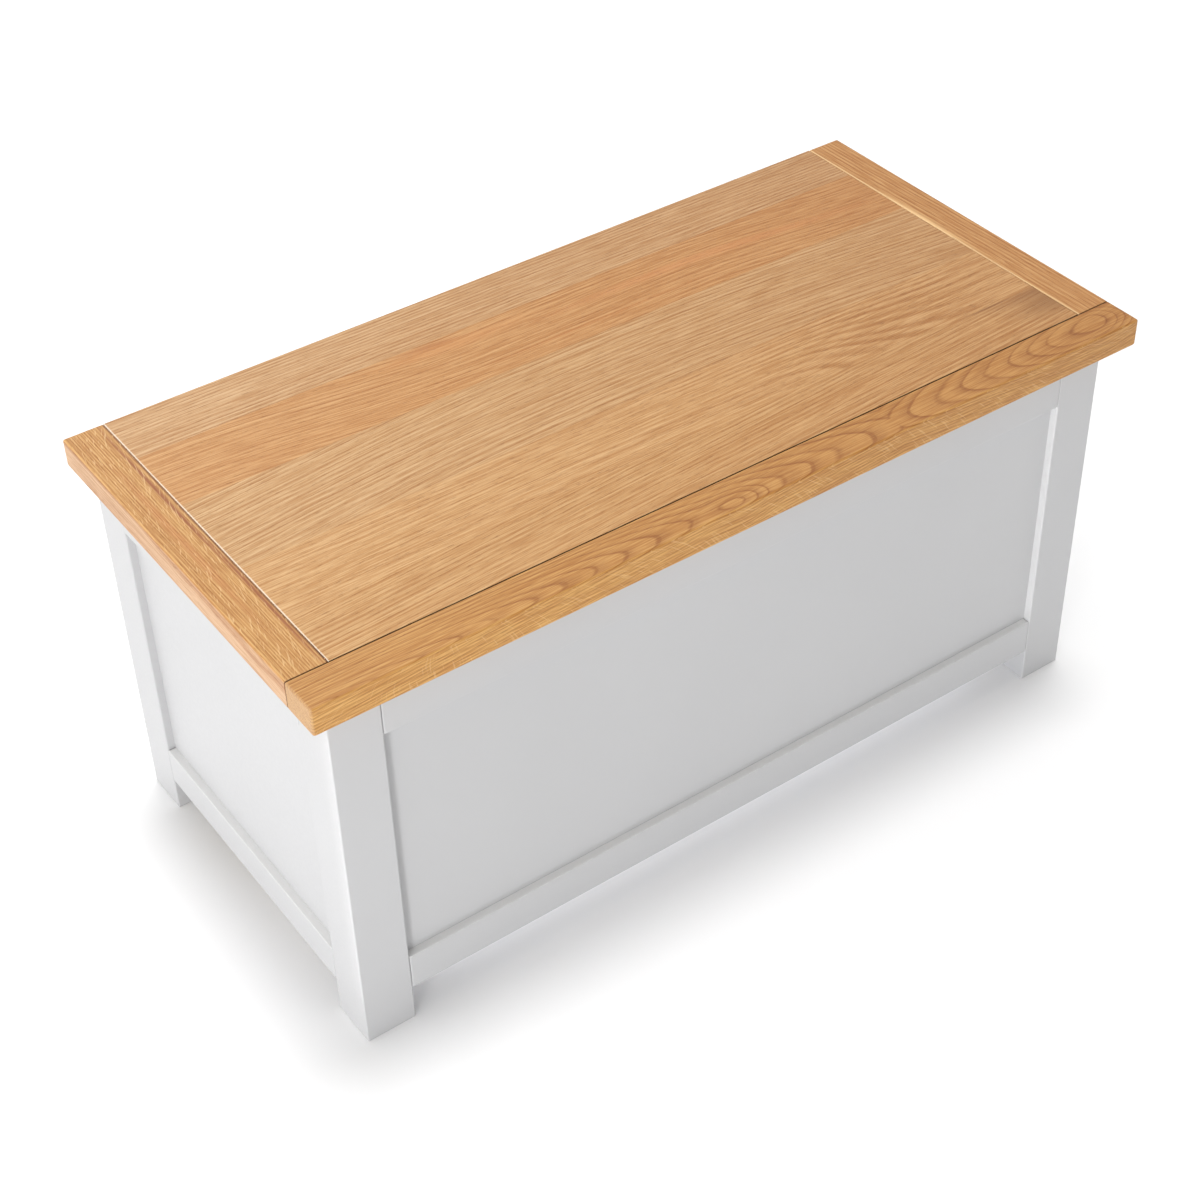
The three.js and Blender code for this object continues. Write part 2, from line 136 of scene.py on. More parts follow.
# %% Lay the sheet
sheet_white, tree, shader = new_finish("white_paper")
feed(shader, {"Base Color": linear("F8F8F8"), "Roughness": 0.9, "Specular IOR Level": 0.1})
bm = bmesh.new()
bmesh.ops.create_grid(bm, x_segments=1, y_segments=1, size=12)
sheet = bpy.data.objects.new("paper_sheet", bpy.data.meshes.new("paper_sheet"))
bm.to_mesh(sheet.data)
bm.free()
sheet.data.materials.append(sheet_white)
bpy.context.scene.collection.objects.link(sheet)
print("sheet laid")

# %% Hang the lights
def soft_light(name, place, aim, width, height, watts, spread=180):
    """A soft box at a place, turned towards a point. A small spread makes it a beam."""
    lamp = bpy.data.lights.new(name, "AREA")
    lamp.shape = "RECTANGLE"
    lamp.size = width
    lamp.size_y = height
    lamp.energy = watts
    lamp.spread = math.radians(spread)
    light = bpy.data.objects.new(name, lamp)
    light.location = place
    light.rotation_euler = (Vector(aim) - Vector(place)).to_track_quat("-Z", "Y").to_euler()
    bpy.context.scene.collection.objects.link(light)
    return light


surroundings = bpy.data.worlds.new("studio")
bpy.context.scene.world = surroundings
surroundings.use_nodes = True
tree = surroundings.node_tree
direction = add(tree, "TexCoord").node.outputs["Generated"]
sideways = add(tree, "SeparateXYZ", {"Vector": direction})
walls = add(tree, "MapRange", {"Value": sideways, 1: -1, 2: 1, 3: 1.04, 4: 0.66})
front = add(tree, "MapRange", {"Value": sideways.node.outputs["Y"], 1: -1, 2: 0, 3: 0.21, 4: 1})
strength = add(tree, "Math", {0: walls, 1: front}, operation="MULTIPLY")
feed(tree.nodes["Background"], {"Color": (1, 1, 1, 1), "Strength": strength})
soft_light("key", (-3.8, -2.85, 0.7), (-0.1, -0.1, 0.25), 0.85, 0.85, 88)
soft_light("window", (-1.6, -0.2, 1.9), (-0.3, 0, 0.3), 1.0, 1.0, 3)
soft_light("sheen", (-0.1, 2.0, 2.2), (-0.3, 0, 0.48), 1.4, 1.4, 9)
soft_light("rake", (-1.9, -0.29, 0.25), (0.42, -0.219, 0.25), 0.03, 0.37, 0.028, 3)
below = soft_light("below", (0, -0.08, 0.056), (0, -0.08, 0), 0.8, 0.24, 0.6)
below.data.color = (0.66, 0.78, 1)
overhead = bpy.data.objects.new("overhead", bpy.data.lights.new("overhead", "SUN"))
overhead.data.energy = 1.28
overhead.data.angle = math.radians(14)
overhead.rotation_euler = Vector((0.09, 0.05, 1)).to_track_quat("Z", "Y").to_euler()
bpy.context.scene.collection.objects.link(overhead)
print(len(bpy.data.lights), "lights hung")

# %% [markdown]
# ## Oak
# The lid is European oak, planed, sanded and lacquered. Oak is ring-porous: each year starts with
# a band of open pores, which shows as a darker line, and ends in dense pale wood. A board is a
# slice through those rings, so its figure comes from where it lay in the tree. Here each board
# gets the line of the tree's heart, the pith: how far it ran from the board, and its slope. The
# distance from that line, counted in years, draws straight lines on one face, arches on the next
# and arcs on the end, as in a real plank.
#
# A picture of wood could be wrapped round the board instead, but it would show the same lines on
# every face. Distances in space meet at the arrises by themselves. A few more things make it oak
# and not just striped: pushes, where a branch bent the rings, flecks, which are rays cut along
# their length, pores in short dashes, and patches where the wood took the lacquer darker.

# %% A finish cut from the tree
PORE_BROWN = "7A4A22"
FLECK_PALE = "EDC68E"
RAY_SPACING = 100 * MM


def oak(name, pith, ring, pale, dark, warm, slope=0.0, heading=0.0, contrast=1.0, wander=0.006,
        pushes=(), patches=(), joints=(), rays=None, warmth=0.3, line=0.3, painted_top_shade="F4E8DC",
        unrest=1.0, crown=None, seed=0.0):
    """Lacquered oak for one board. The pith line passes through the point pith, heads that many
    degrees round from +X and climbs by slope; ring is the width of a year in metres. A push moves
    the rings near a centre, a patch is an oval of another colour that bends with them, and a joint
    is one that stays straight. Unrest is how unlike one year is to the next, and a crown is where
    the rings show best: its centre, reach and strength. Rays are their strength, length,
    thickness, tilt and the way that the face looks which shows them."""
    material, tree, shader = new_finish(name)
    place = add(tree, "TexCoord").node.outputs["Object"]

    def drawn_out(vector, size, detail, **settings):
        """Noise whose grains have a real size along the trunk and across it, in metres."""
        sized = add(tree, "Mapping", {"Vector": vector, "Location": (seed, seed * 1.7, seed * 0.6),
                                      "Scale": size}, vector_type="TEXTURE")
        return add(tree, "TexNoise", {"Vector": sized, "Scale": 1, "Detail": detail}, **settings)

    # Slow wander of the rings along the trunk
    turned = add(tree, "Mapping", {"Vector": place, "Rotation": (0, 0, math.radians(heading))},
                 vector_type="TEXTURE")
    drift = drawn_out(turned, (0.40, 0.14, 0.14), 3).node.outputs["Color"]
    drift = add(tree, "VectorMath", {0: drift, 1: (0.5, 0.5, 0.5)}, operation="SUBTRACT")
    bent = add(tree, "VectorMath", {0: drift, 1: (wander, wander * 1.6, wander * 2.2), 2: place},
               operation="MULTIPLY_ADD")

    def nearness(vector, centre, reach, start, amount, shape):
        """How near a point is to a centre, measured in ovals: the amount falls to 0 at reach."""
        scale = [1 / reach[0], 1 / reach[1], 0]
        offset = [-centre[0] * scale[0], -centre[1] * scale[1], 0]
        away = add(tree, "VectorMath", {0: vector, 1: scale, 2: offset}, operation="MULTIPLY_ADD")
        away = add(tree, "VectorMath", {0: away}, operation="LENGTH")
        return add(tree, "MapRange", {"Value": away, 1: start, 3: amount, 4: 0},
                   interpolation_type=shape)

    # The fibres bend with the rings in the face, but not where these are lifted through it
    flow = bent
    for centre, reach, move, shape in pushes:
        near = nearness(place, centre, reach, 0, 1, shape)
        bent = add(tree, "VectorMath", {0: near, 1: move, 2: bent}, operation="MULTIPLY_ADD")
        if move[1]:
            flow = add(tree, "VectorMath", {0: near, 1: (0, move[1], 0), 2: flow},
                       operation="MULTIPLY_ADD")
    flow = add(tree, "Mapping", {"Vector": flow, "Rotation": (0, 0, math.radians(heading))},
               vector_type="TEXTURE")

    # Years counted from the pith
    trunk = add(tree, "Mapping", {"Vector": bent, "Location": pith,
                                  "Rotation": (0, -math.atan(slope), math.radians(heading))},
                vector_type="TEXTURE")
    across = add(tree, "VectorMath", {0: trunk, 1: (0, 1, 1)}, operation="MULTIPLY")
    radius = add(tree, "VectorMath", {0: across}, operation="LENGTH")
    years = add(tree, "Math", {0: radius, 1: ring}, operation="DIVIDE")
    uneven = add(tree, "TexNoise", {"W": years, "Scale": 0.45, "Detail": 1},
                 noise_dimensions="1D")
    years = add(tree, "Math", {0: uneven, 1: 0.8 * unrest, 2: years}, operation="MULTIPLY_ADD")
    fuzz = drawn_out(flow, (260 * MM, 9 * MM, 9 * MM), 2)
    years = add(tree, "Math", {0: fuzz, 1: 0.2, 2: years}, operation="MULTIPLY_ADD")
    part = add(tree, "Math", {0: years}, operation="FRACT")
    band = add(tree, "ValToRGB", {"Fac": part},
               stops=[(0, 0.7), (line * 0.3, 1.0), (line, 0.4), (0.62, 0.05), (0.9, 0.08),
                      (1, 0.7)])
    strong = add(tree, "TexNoise", {"W": years, "Scale": 0.8, "Detail": 0},
                 noise_dimensions="1D")
    strong = add(tree, "MapRange", {"Value": strong, 1: 0.3, 2: 0.7, 3: 1 - 0.5 * unrest, 4: 1})
    lengthways = drawn_out(flow, (320 * MM, 30 * MM, 30 * MM), 2)
    lengthways = add(tree, "MapRange", {"Value": lengthways, 1: 0.3, 2: 0.68, 3: 0.75, 4: 1.1})
    band = add(tree, "Math", {0: band, 1: strong}, operation="MULTIPLY")
    band = add(tree, "Math", {0: band, 1: lengthways}, operation="MULTIPLY")
    if crown:
        centre, reach, amount = crown
        best = nearness(place, centre, reach, 0, amount, "SMOOTHERSTEP")
        band = add(tree, "Math", {0: band, 1: best, 2: band}, operation="MULTIPLY_ADD")
    shade = add(tree, "Math", {0: band, 1: contrast}, operation="MULTIPLY", use_clamp=True)

    def mixed(amount, below, above, **settings):
        """One colour over another."""
        return add(tree, "Mix", {0: amount, 6: below, 7: above}, data_type="RGBA",
                   **settings).node.outputs[2]

    # Wood colour: pale and dark parts of the year, warmer streaks, then fine lines of fibre
    wood = mixed(shade, linear(pale), linear(dark))
    tint = drawn_out(flow, (400 * MM, 28 * MM, 28 * MM), 1)
    tint = add(tree, "MapRange", {"Value": tint, 1: 0.42, 2: 0.68, 3: 0, 4: warmth})
    wood = mixed(tint, wood, linear(warm))
    grain = drawn_out(flow, (300 * MM, 1.7 * MM, 1.7 * MM), 1)
    fibre = drawn_out(flow, (36 * MM, 1.2 * MM, 1.2 * MM), 1)
    lines = add(tree, "Math", {0: grain, 1: 0.75, 2: fibre}, operation="MULTIPLY_ADD")
    lines = add(tree, "MapRange", {"Value": lines, 1: 0.72, 2: 1.04})
    wood = mixed(1, wood, add(tree, "ValToRGB", {"Fac": lines},
                              stops=[(0, "E2D0B8"), (1, "FFFFFF")]), blend_type="MULTIPLY")

    # Painted shade: the wood is drawn darker towards the right end, and darker again on faces that
    # look up, standing in for the way the light falls across the lid
    light = add(tree, "SeparateXYZ", {"Vector": place})
    light = add(tree, "MapRange", {"Value": light, 1: -0.5, 2: 0.5})
    wood = mixed(light, wood, mixed(1, wood, linear("EBE2DA"), blend_type="MULTIPLY"))
    # Painted shade: faces that look up are multiplied by a darker colour
    normal = add(tree, "TexCoord").node.outputs["Normal"]
    painted_light_facing_up = add(tree, "SeparateXYZ", {"Vector": normal}).node.outputs["Z"]
    painted_light_facing_up = add(tree, "MapRange", {"Value": painted_light_facing_up})
    wood = mixed(painted_light_facing_up, wood, mixed(1, wood, linear(painted_top_shade), blend_type="MULTIPLY"))

    # Patches of another colour, and the lines along the joints: painted shade and painted
    # highlights on the easings, with dark lacquer in the groove
    for vector, marks in ((bent, patches), (place, joints)):
        for centre, reach, colour, amount in marks:
            wood = mixed(nearness(vector, centre, reach, 0.2, amount, "SMOOTHSTEP"), wood,
                         linear(colour))

    # Pores: dashes of 0.5 mm by about 8 mm, most of them in the dark part of the year
    pores = drawn_out(flow, (9 * MM, 0.7 * MM, 0.7 * MM), 1)
    pores = add(tree, "MapRange", {"Value": pores, 1: 0.56, 2: 0.7, 3: 0, 4: 1})
    crowd = add(tree, "MapRange", {"Value": band, 1: 0, 2: 0.6, 3: 0.3, 4: 1})
    pores = add(tree, "Math", {0: pores, 1: crowd}, operation="MULTIPLY")
    wood = mixed(add(tree, "Math", {0: pores, 1: 0.45}, operation="MULTIPLY"), wood,
                 linear(PORE_BROWN))

    # Rays: thin sheets that stand on the pith. A face cut along one shows it as a pale fleck, and
    # any other face cuts it to a hair, too thin to be seen
    if rays:
        amount, length, thickness, tilt, facing = rays
        along, side, up = add(tree, "SeparateXYZ", {"Vector": trunk}).node.outputs
        turn = add(tree, "Math", {0: side, 1: up}, operation="ARCTAN2")
        sheet = add(tree, "Math", {0: turn, 1: RAY_SPACING}, operation="MULTIPLY")
        sheet = add(tree, "Math", {0: along, 1: tilt, 2: sheet}, operation="MULTIPLY_ADD")
        rays = add(tree, "CombineXYZ", {"X": along, "Y": radius, "Z": sheet})
        rays = drawn_out(rays, (length, length, thickness), 1)
        rays = add(tree, "MapRange", {"Value": rays, 1: 0.6, 2: 0.7, 3: 0, 4: amount})
        cut = add(tree, "VectorMath", {0: normal, 1: facing},
                  operation="DOT_PRODUCT").node.outputs["Value"]
        cut = add(tree, "Math", {0: cut, 1: rays}, operation="MULTIPLY", use_clamp=True)
        wood = mixed(cut, wood, linear(FLECK_PALE))

    gloss = add(tree, "MapRange", {"Value": pores, 3: 0.42, 4: 0.62})
    depth = add(tree, "Math", {0: band, 1: 0.35, 2: pores}, operation="MULTIPLY_ADD")
    depth = add(tree, "Math", {0: lines, 1: -0.5, 2: depth}, operation="MULTIPLY_ADD")
    relief = add(tree, "Bump", {"Height": depth, "Distance": 0.15 * MM, "Strength": 0.7},
                 invert=True)
    feed(shader, {"Base Color": wood, "Roughness": gloss, "IOR": 1.5, "Specular IOR Level": 0.4,
                  "Normal": relief})
    return material


print("oak ready")

# %% [markdown]
# ## Boards with eased arrises
# No carpenter leaves an arris sharp: it is taken off with a plane or sandpaper, more on the
# outside of the lid than at its joints, where a narrow easing on both sides makes a V-groove. Each
# board starts as a cube of its size. Its edges carry a bevel weight, which lets one Bevel modifier
# round every edge by its own radius, with clean corners where they meet.

# %% Helpers for boards
SEGMENTS = 4
HAIR = 0.05 * MM
GAP = 0.25 * MM
SMOOTH_BELOW = math.radians(30)


def show(name, bm, body, nodes, materials):
    """Makes a piece from a bmesh, and lets it ride on its body in place of CAD nodes."""
    piece = bpy.data.objects.new(name, bpy.data.meshes.new(name))
    bm.to_mesh(piece.data)
    bm.free()
    bpy.context.scene.collection.objects.link(piece)
    for material in materials:
        piece.data.materials.append(material)
    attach(piece, body)
    if nodes:
        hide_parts(*nodes)
    return piece


def made_verts(made):
    """The vertices among what an operator made."""
    return [part for part in made["geom"] if isinstance(part, bmesh.types.BMVert)]


def board(low, high, radius, edges=None):
    """A board with rounded arrises. Its edges are named by the two sides that they join, such as
    (0, 1, 1) for the top of the rear face, and edges gives some of them their own radius."""
    low, high = Vector(low), Vector(high)
    edges = edges or {}
    bm = bmesh.new()
    bmesh.ops.create_cube(bm, size=1)
    weight = bm.edges.layers.float.new("bevel_weight_edge")
    largest = max([radius, *edges.values()])
    for edge in bm.edges:
        middle = (edge.verts[0].co + edge.verts[1].co) / 2
        side = tuple(round(2 * part) for part in middle)
        edge[weight] = edges.get(side, radius) / largest
        edge.smooth = edge[weight] > 0
    for face in bm.faces:
        face.smooth = True
    bmesh.ops.scale(bm, vec=high - low, verts=bm.verts)
    bmesh.ops.translate(bm, vec=(low + high) / 2, verts=bm.verts)
    return bm, largest


def notch(bm, near, far, front, level, floor):
    """Cuts a housing for a hinge leaf into the rear edge of a board, from near to far along X. It
    opens at the height level and at the rear, and goes in to the height floor."""
    rear = max(vert.co.y for vert in bm.verts)

    def faces(test):
        return [face for face in bm.faces
                if near < face.calc_center_median().x < far and test(face.calc_center_median())]

    def split(chosen, point, normal):
        edges = {edge for face in chosen for edge in face.edges}
        verts = {vert for face in chosen for vert in face.verts}
        bmesh.ops.bisect_plane(bm, geom=[*verts, *edges, *chosen], plane_co=point,
                               plane_no=normal)

    for side in (near, far):
        split(bm.faces[:], (side, 0, 0), (1, 0, 0))
    split(faces(lambda middle: abs(middle.z - level) < HAIR), (0, front, 0), (0, 1, 0))
    split(faces(lambda middle: abs(middle.y - rear) < HAIR), (0, 0, floor), (0, 0, 1))
    mouth = faces(lambda middle: (abs(middle.z - level) < HAIR and middle.y > front)
                  or (abs(middle.y - rear) < HAIR
                      and min(level, floor) < middle.z < max(level, floor)))
    made = bmesh.ops.extrude_face_region(bm, geom=mouth)["geom"]
    bmesh.ops.delete(bm, geom=mouth, context="FACES")
    weight = bm.edges.layers.float["bevel_weight_edge"]
    for part in made:
        if isinstance(part, bmesh.types.BMVert):
            if abs(part.co.y - rear) < HAIR and abs(part.co.z - level) < HAIR:
                part.co.y, part.co.z = front, floor
        elif isinstance(part, bmesh.types.BMEdge):
            part[weight] = 0
    bmesh.ops.remove_doubles(bm, verts=bm.verts, dist=HAIR / 10)
    bmesh.ops.recalc_face_normals(bm, faces=bm.faces)
    for edge in bm.edges:
        edge.smooth = edge[weight] > 0 or edge.calc_face_angle(0) < SMOOTH_BELOW


def show_board(name, low, high, radius, edges, body, nodes, material, notches=()):
    """Makes a board and rounds it with a Bevel modifier that reads its edges' weights."""
    bm, largest = board(low, high, radius, edges)
    for places in notches:
        notch(bm, *places)
    piece = show(name, bm, body, nodes, [material])
    rounding = piece.modifiers.new("eased arrises", "BEVEL")
    rounding.limit_method = "WEIGHT"
    rounding.width = largest
    rounding.segments = SEGMENTS
    rounding.harden_normals = not notches
    if notches:
        flatness = piece.modifiers.new("flat faces", "WEIGHTED_NORMAL")
        flatness.keep_sharp = True
    return piece


print("boards are rounded in", SEGMENTS, "steps")

# %% Places of the lid's boards
LID_ARRIS = 2.6 * MM
JOINT_ARRIS = 1.3 * MM
lid_low, lid_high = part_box("lid_front_rail")
lid_low, lid_high = lid_low.copy(), lid_high.copy()
rail_back = lid_high.y
lid_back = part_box("lid_board_1")[1].y
under, top = lid_low.z, lid_high.z
side_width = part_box("lid_left_rail")[1].x - lid_low.x
panel_side = lid_high.x - side_width
print("the panel is", round(2 * panel_side / MM), "by", round((lid_back - rail_back) / MM), "mm")

# %% [markdown]
# ## Lines along the joints
# Where two boards meet, the V between their easings holds a dark line of shade and lacquer, and
# the easing that faces the light is bright. The easing alone is too narrow to show that from where
# the camera stands, so each line is also painted in as a band of colour: painted shade on the
# easing turned from the light, and a painted highlight on the one turned towards it. A band is its
# middle, its reach, its colour and its strength. It keeps to the joint, and doesn't wander with
# the grain.

# %% Lines along the joints
front_joint = ((0, rail_back), (3, 1.3 * MM), "3E2408", 0.85)
# The dark bands at the side joints are painted shade, the pale ones painted highlights
left_joint_painted_shade = ((-panel_side - 0.8 * MM, 0), (1.6 * MM, 3), "74401E", 0.8)
left_joint_painted_highlight = ((-panel_side + 0.8 * MM, 0), (1.0 * MM, 3), "FFF0DC", 0.7)
right_joint_painted_shade = ((panel_side - 0.4 * MM, 0), (1.0 * MM, 3), "7A4826", 0.6)
right_joint_painted_highlight = ((panel_side + 1.2 * MM, 0), (1.6 * MM, 3), "F0CC98", 0.6)
board_joints = (front_joint, left_joint_painted_highlight, right_joint_painted_shade)
print("joints at", round(-panel_side / MM), "and", round(panel_side / MM), "mm")

# %% [markdown]
# ## The lid's rails
# The front rail was cut close to the pith, which climbs away above it: its years sweep across the
# top in long arches, close round an eye at the right end, and run straight along the front face,
# where rays show as pale curved flecks. The left rail is quarter-sawn, straight-grained and full
# of short flecks. The right rail is softer in figure, with a crescent of paler sapwood.

# %% Front rail
# The end grain has dried paler and less yellow than the faces
end_grain = [((end, 0), (3 * MM, 3), "B19476", 0.45) for end in (lid_low.x, lid_high.x)]
front_oak = oak(
    "lacquered_oak_front_rail", pith=(-0.5, lid_low.y - 2 * MM, top + 4.6 * MM), slope=0.1,
    heading=1.4, ring=3.7 * MM, pale="E2B168", dark="BC8443", warm="DBA759", contrast=1.65,
    wander=0.004, line=0.15, painted_top_shade="EAE4E6",
    pushes=[((0.463, lid_low.y + 30 * MM), (0.29, 0.29), (0, 0, 0.06), "LINEAR"),
            ((-0.026, lid_low.y + 8 * MM), (0.05, 0.03), (0, 0, 0.006), "SMOOTHSTEP")],
    joints=[front_joint, *end_grain], rays=(0.3, 24 * MM, 0.5 * MM, 0.2, (0, -1, 0)),
    warmth=0.2, seed=2.1)
show_board(
    "lid_front_rail_oak", lid_low, (lid_high.x, rail_back - GAP, top), LID_ARRIS,
    {(0, 1, 1): JOINT_ARRIS, (0, 1, -1): JOINT_ARRIS, (1, 1, 0): JOINT_ARRIS,
     (-1, 1, 0): JOINT_ARRIS},
    "lid", ["lid_front_rail"], front_oak)
print("front rail made")

# %% Side rails
left_oak = oak(
    "lacquered_oak_left_rail", pith=(-0.30, 0, top - 30 * MM), slope=0.01, heading=90,
    ring=2.7 * MM, pale="D5AE87", dark="BA8556", warm="CDA276", contrast=1.6, wander=0.005,
    line=0.4,
    patches=[((-0.4630, 0.10), (0.0032, 0.21), "96552C", 0.9),
             ((-0.4605, -0.09), (0.0026, 0.17), "96552C", 0.9),
             ((-0.4800, 0.02), (0.0070, 0.20), "C07A44", 0.35)],
    joints=[front_joint, left_joint_painted_shade], rays=(0.5, 16 * MM, 0.11 * MM, 0.02, (0, 0, 1)),
    painted_top_shade="FFF7CA", seed=5.3)
right_oak = oak(
    "lacquered_oak_right_rail", pith=(0.40, 0, top - 60 * MM), slope=0.03, heading=92,
    ring=4.2 * MM, pale="E4BE86", dark="CB9A60", warm="DCB074", contrast=1.6, wander=0.012,
    patches=[((panel_side, 0.045), (0.012, 0.12), "E6BC84", 0.8)],
    joints=[front_joint, right_joint_painted_highlight], seed=8.8)
for name, hand, material in (("lid_left_rail", -1, left_oak), ("lid_right_rail", 1, right_oak)):
    ends = sorted((hand * lid_high.x, hand * (panel_side + HAIR)))
    show_board(
        name + "_oak", (ends[0], rail_back + GAP, under), (ends[1], lid_back, top), LID_ARRIS,
        {(0, -1, 1): JOINT_ARRIS, (0, -1, -1): JOINT_ARRIS, (hand, -1, 0): JOINT_ARRIS,
         (-hand, -1, 0): JOINT_ARRIS, (-hand, 0, 1): JOINT_ARRIS, (-hand, 0, -1): JOINT_ARRIS},
        "lid", [name], material)
print("side rails made")

# %% [markdown]
# ## The panel's five boards
# The panel is glued up from five boards and planed as one, so the boards meet square and only the
# panel's outer edges are eased. Each came from another log: straight pale grain at the rear, a
# warm board bent round a hidden knot, a broad one with even lines in a slow arch, a smooth one
# with one tall arch, and a straight one again, dark at its right end.

# %% Finishes of the five boards
boards = [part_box(f"lid_board_{number}") for number in range(1, 6)]
seams = [(boards[index][0].y + boards[index + 1][1].y) / 2 for index in range(4)]
board_oaks = [
    oak("lacquered_oak_board_1", pith=(0, seams[0] - 0.12, top - 0.09), heading=-0.5,
        ring=4.5 * MM, pale="DFC299", dark="C9A072", warm="D8B485", contrast=1.2, wander=0.004,
        joints=board_joints, unrest=0.4, seed=1.2),
    oak("lacquered_oak_board_2", pith=(0, seams[1] - 0.11, top - 0.05),
        ring=6.2 * MM, pale="DFB681", dark="C99960", warm="D8AA71", contrast=1.35,
        pushes=[((-0.50, seams[0] - 0.03), (0.48, 0.9), (0, -0.034, 0), "SMOOTHERSTEP"),
                ((0.52, seams[0] - 0.03), (0.40, 0.5), (0, 0.026, 0), "SMOOTHERSTEP"),
                ((-0.125, lid_back - 0.09), (0.09, 0.035), (0, 0, 0.014), "SMOOTHERSTEP")],
        patches=[((-0.125, lid_back - 0.084), (0.055, 0.008), "A8642F", 0.45),
                 ((-0.100, lid_back - 0.094), (0.130, 0.013), "C98A52", 0.40),
                 ((0.220, lid_back - 0.109), (0.280, 0.011), "CC8A55", 0.45),
                 ((0.050, lid_back - 0.147), (0.200, 0.004), "B97A42", 0.45)],
        joints=board_joints, warmth=0.5, seed=3.4),
    oak("lacquered_oak_board_3", pith=(0, seams[2] - 0.10, top - 0.10),
        ring=5.1 * MM, pale="E0C296", dark="C9A16F", warm="D8B582", contrast=1.1, wander=0.003,
        unrest=0.4,
        pushes=[((0.0, 0.0), (0.75, 0.8), (0, -0.04, 0), "SMOOTHERSTEP")],
        joints=board_joints, seed=6.1),
    oak("lacquered_oak_board_4", pith=(0.30, seams[3] + 4 * MM, top - 0.07), slope=-0.012,
        heading=0.4, ring=4.4 * MM, pale="E2C08F", dark="CBA06A", warm="DAB57D", contrast=0.6,
        unrest=0.8, crown=((0.29, seams[3] + 0.04), (0.20, 0.10), 2.2),
        pushes=[((0.60, seams[3]), (0.50, 0.4), (0, 0, 0.02), "SMOOTHERSTEP"),
                ((0.30, seams[3] + 0.035), (0.20, 0.07), (0, 0, 0.008), "SMOOTHERSTEP")],
        joints=board_joints, warmth=0.2, line=0.45, seed=7.7),
    oak("lacquered_oak_board_5", pith=(0, seams[3] - 0.20, top - 0.10), heading=3.4,
        ring=5.2 * MM, pale="DFBD8B", dark="C89D66", warm="D8AF78", wander=0.003, unrest=0.3,
        patches=[((0.49, seams[3] - 0.010), (0.15, 0.013), "8A5A30", 0.65),
                 ((0.50, seams[3] - 0.032), (0.13, 0.040), "8E6238", 0.9),
                 ((0.39, seams[3] - 0.004), (0.045, 0.002), "7A4A22", 0.7)],
        joints=board_joints, seed=9.5)]
print(len(board_oaks), "finishes, one per board")

# %% Where the hinge leaves are let in
LEAF = 2 * MM
FIT = 0.3 * MM
leaf_depth = 2 * FIT + LEAF
leaf_spans = []
for side in ("left", "right"):
    low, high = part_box(f"hinge_{side}_lid_leaf")
    leaf_spans.append((low.x - FIT, high.x + FIT))
leaf_front = low.y - FIT
pin_low, pin_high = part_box("hinge_left_pin")
axis = (pin_low + pin_high) / 2
print("leaves let in", round((axis.z + leaf_depth - under) / MM, 1), "mm deep")

# %% Cut and lay the boards
edge_lines = [lid_back, *seams, rail_back + GAP]
for index, material in enumerate(board_oaks):
    rear, fore = edge_lines[index], edge_lines[index + 1]
    eased = {(side, 0, level): JOINT_ARRIS for side in (-1, 1) for level in (-1, 1)}
    if index == 0:
        eased.update({(0, 1, 1): LID_ARRIS, (0, 1, -1): LID_ARRIS})
    if index == 4:
        eased.update({(0, -1, level): JOINT_ARRIS for level in (-1, 1)})
    show_board(
        f"lid_board_{index + 1}_oak", (-panel_side + HAIR, fore, under),
        (panel_side - HAIR, rear, top), 0, eased, "lid",
        [f"lid_board_{index + 1}"], material,
        [(*span, leaf_front, under, axis.z + leaf_depth) for span in leaf_spans]
        if index == 0 else ())
print("five boards laid, seams at", [round(seam / MM, 1) for seam in seams], "mm")

# %% [markdown]
# ## Satin paint
# The body is softwood and board under a sprayed and rubbed satin paint in a very pale grey. Spray
# leaves a fine orange peel, and the wood's fibre still lifts a little under the film, along the
# length of each piece. Both are far too shallow to see but for the way that they break up the
# sheen, so they are bump and a slight change of roughness. Faces that look up are painted whiter
# than the upright ones: this is painted light, standing in for the light that falls on them.

# %% The paint, by the way the wood runs
def satin_paint(name, stretch):
    """Satin paint over wood whose fibre is stretched along one axis."""
    material, tree, shader = new_finish(name)
    place = add(tree, "TexCoord").node.outputs["Object"]
    peel = add(tree, "TexNoise", {"Vector": place, "Scale": 1 / (3.5 * MM), "Detail": 2})
    fibre = add(tree, "Mapping", {"Vector": place, "Scale": stretch})
    fibre = add(tree, "TexNoise", {"Vector": fibre, "Scale": 1, "Detail": 3})
    clouds = add(tree, "TexNoise", {"Vector": place, "Scale": 5, "Detail": 2})
    body = add(tree, "Mix", {0: clouds, 6: linear("C3C3C4"), 7: linear("C7C7C8")},
               data_type="RGBA").node.outputs[2]
    # Painted light: faces that look up are drawn whiter than the upright ones
    painted_light_facing_up = add(tree, "SeparateXYZ", {"Vector": add(tree, "TexCoord").node.outputs["Normal"]})
    painted_light_facing_up = add(tree, "MapRange", {"Value": painted_light_facing_up.node.outputs["Z"], 1: 0.3})
    body = add(tree, "Mix", {0: painted_light_facing_up, 6: body, 7: linear("E9E9E8")},
               data_type="RGBA").node.outputs[2]
    sheen = add(tree, "MapRange", {"Value": peel, 1: 0.3, 2: 0.7, 3: 0.36, 4: 0.46})
    height = add(tree, "Math", {0: fibre, 1: 0.8, 2: peel}, operation="MULTIPLY_ADD")
    relief = add(tree, "Bump", {"Height": height, "Distance": 0.05 * MM, "Strength": 0.5})
    feed(shader, {"Base Color": body, "Roughness": sheen, "Normal": relief})
    return material


